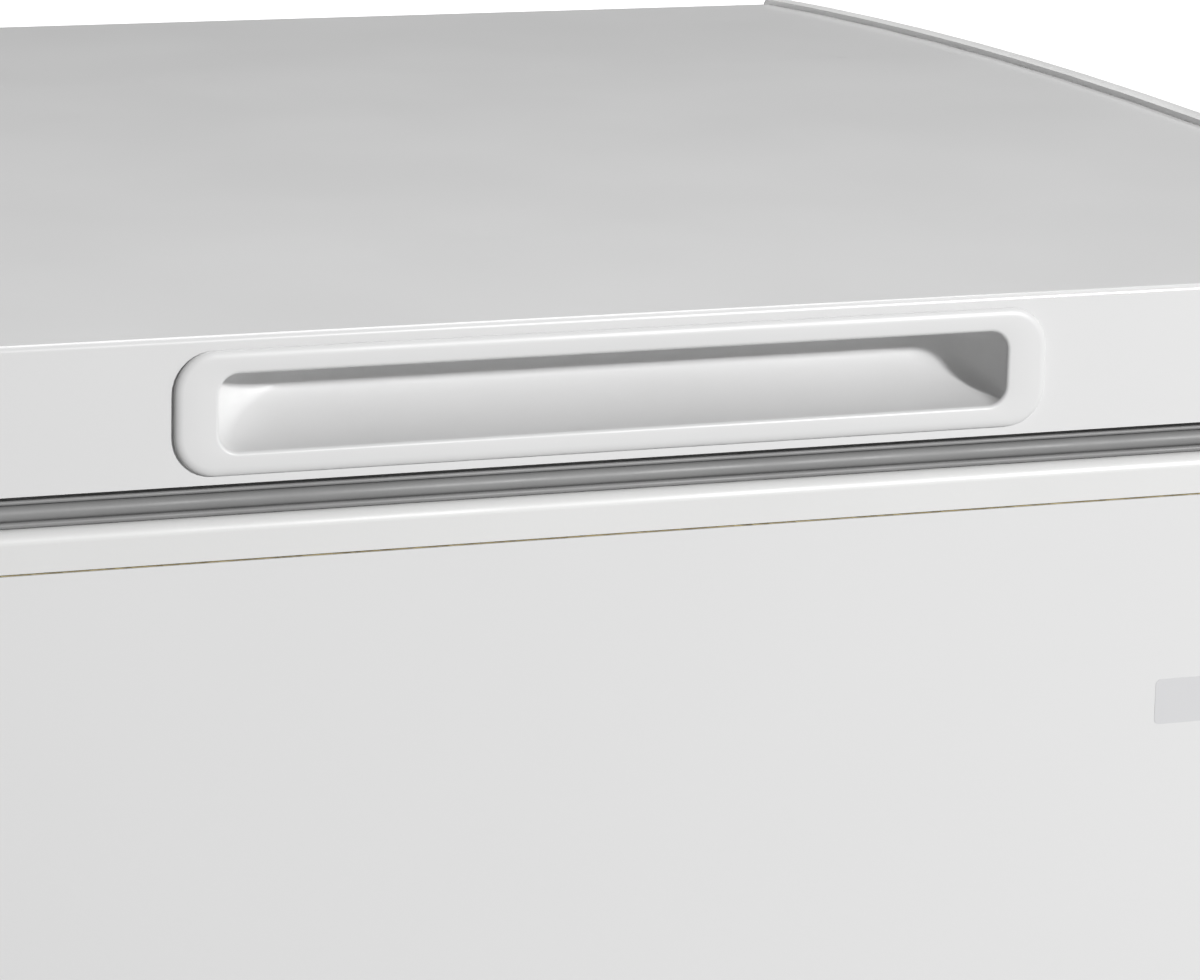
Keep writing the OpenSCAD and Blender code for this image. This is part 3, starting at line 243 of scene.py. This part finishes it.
def zinc(name, color, rough=0.35):
    f = Finish(name, color, rough, metallic=0.95)
    f.bump(f.noise(260, 4, (1, 1, 6)), 0.00005, 0.35)
    f.uneven(f.noise(45, 5), 0.1)
    f.tint(f.noise(18, 4), (color[0] * 0.86, color[1] * 0.85, color[2] * 0.8))
    return f


def copper():
    color = (0.68, 0.33, 0.19)
    f = Finish("copper_tube", color, 0.33, metallic=1.0)
    f.tint(f.noise(30, 6), (0.42, 0.20, 0.11), 0.8)
    f.uneven(f.noise(60, 5), 0.12)
    f.bump(f.noise(500, 4), 0.00004, 0.4)
    return f


def black_paint():
    color = (0.018, 0.018, 0.02)
    f = Finish("compressor_paint", color, 0.3, coat=0.3, coat_rough=0.2)
    f.bump(f.noise(230, 3), 0.00025, 0.35)
    f.uneven(f.noise(20, 5), 0.1)
    f.tint(f.noise(12, 6), (0.05, 0.048, 0.045), 0.6)
    return f


def stucco_liner():
    color = (0.84, 0.85, 0.86)
    f = Finish("embossed_liner", color, 0.38, metallic=0.35)
    f.bump(f.cells(160, "SMOOTH_F1"), 0.0006, 0.35)
    f.uneven(f.noise(18, 5), 0.07)
    f.tint(f.noise(9, 4), (0.78, 0.79, 0.81))
    return f


def foam():
    color = (0.90, 0.80, 0.50)
    f = Finish("polyurethane_foam", color, 0.95)
    f.bump(f.cells(420), 0.0008, 0.7)
    f.tint(f.noise(20, 6), (0.80, 0.66, 0.34))
    return f


def lamp():
    f = Finish("lamp_lens", (0.06, 0.55, 0.16), 0.12, coat=0.6, coat_rough=0.05)
    f.set("Transmission Weight", 0.35)
    f.bump(f.cells(900), 0.0002, 0.3)
    f.uneven(f.noise(80, 3), 0.04)
    return f


WHITE = (0.76, 0.76, 0.76)
FINISHES = {
    "white_enamel": enamel("white_enamel", WHITE),
    "white_plastic": plastic("white_plastic", (0.76, 0.76, 0.755), 0.42, 520, 0.00006, 0.05),
    "gloss_white": plastic("handle_plastic", (0.74, 0.74, 0.74), 0.42, 260, 0.00004, 0.06),
    "foam": foam(),
    "liner_white": plastic("formed_panel", (0.87, 0.875, 0.87), 0.33, 180, 0.00012, 0.2),
    "gasket_grey": vinyl_seal(),
    "magnet": rubber("magnet_strip", (0.12, 0.09, 0.08)),
    "zinc_steel": zinc("zinc_plate", (0.66, 0.67, 0.69), 0.38),
    "zinc_screw": zinc("zinc_screw", (0.70, 0.71, 0.73), 0.28),
    "spring_steel": zinc("spring_wire", (0.33, 0.33, 0.35), 0.3),
    "galvanised": galvanised(),
    "foot_plastic": rubber("foot_plastic", (0.035, 0.035, 0.038)),
    "liner_metal": stucco_liner(),
    "tube_aluminium": zinc("aluminium_tube", (0.75, 0.76, 0.77), 0.34),
    "tube_steel": black_paint(),
    "compressor_black": black_paint(),
    "grommet_rubber": rubber("grommet_rubber", (0.02, 0.02, 0.02)),
    "black_plastic": plastic("black_plastic", (0.02, 0.02, 0.022), 0.5, 420, 0.0002),
    "relay_plastic": plastic("relay_plastic", (0.72, 0.68, 0.58), 0.5, 420, 0.0001),
    "copper": copper(),
    "lamp_green": lamp(),
    "wire_insulation": plastic("wire_insulation", (0.03, 0.10, 0.42), 0.4, 300, 0.00005),
    "basket_vinyl": plastic("basket_vinyl", (0.86, 0.86, 0.86), 0.3, 380, 0.00012, 0.3),
}
slot_of = {s["node"]: s["material_slot"] for s in frame["record"]["subparts"]}
for name, node in nodes.items():
    node.data.materials.clear()
    node.data.materials.append(FINISHES[slot_of[name]].material)


# ---- small pieces that the frame leaves out ----

def new_object(name, mesh, finish, body):
    obj = bpy.data.objects.new(name, mesh)
    bpy.context.scene.collection.objects.link(obj)
    mesh.materials.append(finish.material)
    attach(obj, body)
    return obj


# the corners of a rectangle: the signs of X and Z, and the angle at which the round starts
CORNERS = ((1, 1, 0), (-1, 1, 90), (-1, -1, 180), (1, -1, 270))
PRINT_CORNER_STEPS = 8


def corner_points(w, h, r, corner, steps):
    """One rounded corner of a w by h rectangle."""
    cx, cz, start = corner
    angles = [math.radians(start + 90 * k / steps) for k in range(steps + 1)]
    return [(cx * (w / 2 - r) + r * math.cos(a), cz * (h / 2 - r) + r * math.sin(a)) for a in angles]


def printed_bars(name, bars, y, finish):
    """Thin prints on a cabinet face that looks towards -Y: each bar is (x, z, width, height, radius)."""
    bm = bmesh.new()
    for x, z, w, h, r in bars:
        outline = []
        for corner in CORNERS:
            outline += corner_points(w, h, r, corner, PRINT_CORNER_STEPS)
        front = [bm.verts.new((x + px, y - PRINT_T, z + pz)) for px, pz in outline]
        back = [bm.verts.new((x + px, y, z + pz)) for px, pz in outline]
        bm.faces.new(front)
        bm.faces.new(back[::-1])
        n = len(outline)
        for i in range(n):
            bm.faces.new((front[(i + 1) % n], front[i], back[i], back[(i + 1) % n]))
    bmesh.ops.recalc_face_normals(bm, faces=bm.faces)
    mesh = bpy.data.meshes.new(name)
    bm.to_mesh(mesh)
    bm.free()
    obj = new_object(name, mesh, finish, "cabinet")


PRINT_T = 0.06 * MM
pale_print = plastic("pale_print", (0.66, 0.66, 0.67), 0.4, 300, 0.00002)
dark_print = plastic("dark_print", (0.12, 0.12, 0.13), 0.4, 300, 0.00002)

# a plain printed bar, where makers print their mark
MARK_W = 58 * MM
MARK_H = 12.5 * MM
MARK_R = 1.5 * MM
MARK_LEFT = 157.2 * MM
MARK_DROP = 114 * MM
mark_x = MARK_LEFT + MARK_W / 2
printed_bars("front_mark", [(mark_x, edge_z - MARK_DROP, MARK_W, MARK_H, MARK_R)], wrap_low.y, pale_print)

# graduations round the knob, growing towards the cold end
TICKS = 8
TICK_RING_R = 22.5 * MM
TICK_SMALLEST = 1.2 * MM
TICK_GROWTH = 0.28 * MM
DIAL_START = 225
DIAL_TURN = 270
knob_c = (knob_low + knob_high) / 2
ticks = []
for k in range(TICKS):
    a = math.radians(DIAL_START - DIAL_TURN * k / (TICKS - 1))
    size = TICK_SMALLEST + TICK_GROWTH * k
    tick_x = knob_c.x + TICK_RING_R * math.cos(a)
    tick_z = knob_c.z + TICK_RING_R * math.sin(a)
    ticks.append((tick_x, tick_z, size, size, size * 0.49))
printed_bars("dial_marks", ticks, panel_low.y, dark_print)


# ---- rounded copies of the CAD pieces whose edges show ----

WELD = 2e-6
FLAT_ANGLE = math.radians(0.03)
EDGE_ANGLE = math.radians(32)


def soft_copy(node, width):
    """A copy of a CAD node with its edges rounded. It stands for the node."""
    bm = bmesh.new()
    bm.from_mesh(nodes[node].data)
    bmesh.ops.remove_doubles(bm, verts=bm.verts, dist=WELD)
    bmesh.ops.dissolve_limit(bm, angle_limit=FLAT_ANGLE, verts=bm.verts, edges=bm.edges)
    mesh = bpy.data.meshes.new(node + "_soft")
    bm.to_mesh(mesh)
    bm.free()
    obj = new_object(node + "_soft", mesh, FINISHES[slot_of[node]], nodes[node]["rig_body"])
    bevel = obj.modifiers.new("round", "BEVEL")
    bevel.width = width
    bevel.segments = 3
    bevel.limit_method = "ANGLE"
    bevel.angle_limit = EDGE_ANGLE
    bevel.use_clamp_overlap = True
    bevel.harden_normals = True
    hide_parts(node)


SOFT_EDGES = {
    "lid_cap_left": 0.0013, "lid_cap_right": 0.0013,
    "control_panel": 0.0006, "thermostat_knob": 0.0007, "outer_drain_cap": 0.0005,
    "inner_drain_plug": 0.0005, "feet": 0.0008, "basket_ledges": 0.0010, "side_grille": 0.0005,
    "terminal_cover": 0.0008, "cord_gland": 0.0005,
    "hinge_left_body_leaf": 0.0004, "hinge_right_body_leaf": 0.0004,
    "hinge_left_lid_leaf": 0.0004, "hinge_right_lid_leaf": 0.0004,
}
for node, width in SOFT_EDGES.items():
    soft_copy(node, width)


# ---- the handle insert: a bezel and a scooped recess, lofted from rounded rectangles ----

BEZEL = dict(w=236.6 * MM, h=31.6 * MM, r=10.5 * MM)
GRIP = dict(w=213.8 * MM, h=19.5 * MM, r=5.0 * MM)
GRIP_DEPTH = 24 * MM
BEZEL_OUT = 1.8 * MM
GRIP_WALL = 1.8 * MM
# the bezel's back stands off the sheet in a narrow crevice at its edge
CREVICE = 0.4 * MM
CREVICE_IN = 1.6 * MM
BEZEL_EDGE = 0.15 * MM
RIM_START = 0.5 * MM
RIM_R = 2.3 * MM
RIM_STEPS = 7
LIP_R = 1.1 * MM
LIP_STEPS = 5
CUP_CHAMFER = 1 * MM
# the sweep of the recess's ends and floor
END_SWEEP = 22 * MM
FLOOR_SWEEP = 11.96 * MM
FLOOR_SLANT = 0.4
SWEEP_STEPS = 16
CORNER_STEPS = 9
SIDE_STEPS = 24
# half the flat that is always left at the ends of a loop
HALF_FLAT = 0.4 * MM
SHARP = math.radians(38)
handle_low, handle_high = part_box("handle_insert")
grip_z = (handle_low.z + handle_high.z) / 2


def loop_points(w, h, r, y, lift):
    """A rounded rectangle in X and Z at depth y, its middle raised by lift."""
    points = []
    for corner in CORNERS:
        points += [Vector((x, y, lift + z)) for x, z in corner_points(w, h, r, corner, CORNER_STEPS)]
        cx, cz, start = corner
        along_the_length = start in (0, 180)
        if along_the_length:
            first = points[-1]
            last = first - Vector((cx * (w - 2 * r), 0, 0))
            points += [first.lerp(last, k / SIDE_STEPS) for k in range(1, SIDE_STEPS)]
    return points


def grown_grip(d, y):
    return (GRIP["w"] + 2 * d, GRIP["h"] + 2 * d, GRIP["r"] + d, y, 0.0)


def shrunk_bezel(d, y):
    return (BEZEL["w"] - 2 * d, BEZEL["h"] - 2 * d, BEZEL["r"] - d, y, 0.0)


def quarter(steps, first=0):
    """Angles from 0 to a right angle."""
    return [math.radians(90 * k / steps) for k in range(first, steps + 1)]


def handle_loops():
    cup_back = GRIP_DEPTH + GRIP_WALL - BEZEL_OUT
    # outside of the cup, from its back to the bezel's seat, then the crevice
    loops = [
        grown_grip(GRIP_WALL - CUP_CHAMFER, cup_back),
        grown_grip(GRIP_WALL, cup_back - CUP_CHAMFER),
        grown_grip(GRIP_WALL, 0.0),
        shrunk_bezel(CREVICE_IN, 0.0),
        shrunk_bezel(CREVICE_IN, -CREVICE),
        shrunk_bezel(BEZEL_EDGE, -CREVICE),
    ]
    # the rounded rim
    for a in quarter(RIM_STEPS):
        y = -RIM_START - (BEZEL_OUT - RIM_START) * math.sin(a)
        loops.append(shrunk_bezel(RIM_R * (1 - math.cos(a)), y))
    # the mouth's rounded edge
    for a in quarter(LIP_STEPS):
        loops.append(grown_grip(LIP_R * (1 - math.sin(a)), -BEZEL_OUT + LIP_R * (1 - math.cos(a))))
    # the recess: the ends and the floor sweep up to the back, the ceiling stays flat
    start = -BEZEL_OUT + LIP_R
    depth = GRIP_DEPTH - LIP_R
    for a in quarter(SWEEP_STEPS, 1):
        inward = END_SWEEP * (1 - math.cos(a))
        rise = FLOOR_SWEEP * ((1 - FLOOR_SLANT) * (1 - math.cos(a)) + FLOOR_SLANT * math.sin(a))
        h = GRIP["h"] - rise
        r = min(GRIP["r"], h / 2 - HALF_FLAT)
        loops.append((GRIP["w"] - 2 * inward, h, r, start + depth * math.sin(a), rise / 2))
    return loops


def handle_insert():
    bm = bmesh.new()
    middle = Vector((0, front_y, grip_z))
    rings = [[bm.verts.new(p + middle) for p in loop_points(*loop)] for loop in handle_loops()]
    n = len(rings[0])
    for a, b in zip(rings, rings[1:]):
        for i in range(n):
            bm.faces.new((a[i], a[(i + 1) % n], b[(i + 1) % n], b[i]))
    bm.faces.new(rings[0])
    bm.faces.new(rings[-1][::-1])
    bmesh.ops.recalc_face_normals(bm, faces=bm.faces)
    for face in bm.faces:
        face.smooth = True
    mesh = bpy.data.meshes.new("handle_shell")
    bm.to_mesh(mesh)
    bm.free()
    mesh.set_sharp_from_angle(angle=SHARP)
    obj = new_object("handle_shell", mesh, FINISHES["gloss_white"], "lid")
    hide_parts("handle_insert")


handle_insert()


# ---- floor and light ----

FLOOR_SIZE = 60
FLOOR_MIDDLE_Y = 10
GLOW_NEAR, GLOW_FAR = 0.05, 1.4
GLOW_START_Y, GLOW_END_Y = 1.6, 4.6


def studio_floor():
    bpy.ops.mesh.primitive_plane_add(size=FLOOR_SIZE, location=(0, FLOOR_MIDDLE_Y, cad_low.z))
    floor = bpy.context.object
    floor.name = "floor"
    f = Finish("studio_floor", (0.30, 0.30, 0.30), 0.6)
    f.set("Emission Color", (1, 1, 1, 1))
    # grey around the freezer, glowing white far behind it
    place = f.tree.nodes.new("ShaderNodeSeparateXYZ")
    geometry = f.tree.nodes.new("ShaderNodeNewGeometry")
    f.link(geometry.outputs["Position"], place.inputs[0])
    glow = f.span(place.outputs["Y"], GLOW_NEAR, GLOW_FAR, GLOW_START_Y, GLOW_END_Y)
    f.link(glow, f.shader.inputs["Emission Strength"])
    f.uneven(f.noise(3, 3), 0.05)
    floor.data.materials.append(f.material)


def area_light(name, location, target, size, watts):
    """A square light that faces the target."""
    data = bpy.data.lights.new(name, "AREA")
    data.shape = "SQUARE"
    data.size = size
    data.energy = watts
    obj = bpy.data.objects.new(name, data)
    bpy.context.scene.collection.objects.link(obj)
    obj.location = location
    obj.rotation_euler = (target - location).to_track_quat("-Z", "Y").to_euler()


studio_floor()
lid_centre = Vector((0, front_y, edge_z))
# from the right of the camera, a little above the lid
KEY_DISTANCE = 3.2
key_azimuth = math.radians(30)
key_elevation = math.radians(18)
key_level = Vector((math.sin(key_azimuth), -math.cos(key_azimuth), 0)) * math.cos(key_elevation)
key_way = key_level + Vector((0, 0, math.sin(key_elevation)))
area_light("key", lid_centre + key_way * KEY_DISTANCE, lid_centre, size=0.2, watts=101)
area_light("top_soft", lid_centre + Vector((0.2, 1.5, 2.4)), lid_centre, size=2.4, watts=68)
world = bpy.data.worlds.new("world")
bpy.context.scene.world = world
world.use_nodes = True
world.node_tree.nodes["Background"].inputs["Color"].default_value = (1, 1, 1, 1)
world.node_tree.nodes["Background"].inputs["Strength"].default_value = 0.11

bpy.context.scene.view_settings.view_transform = "Standard"
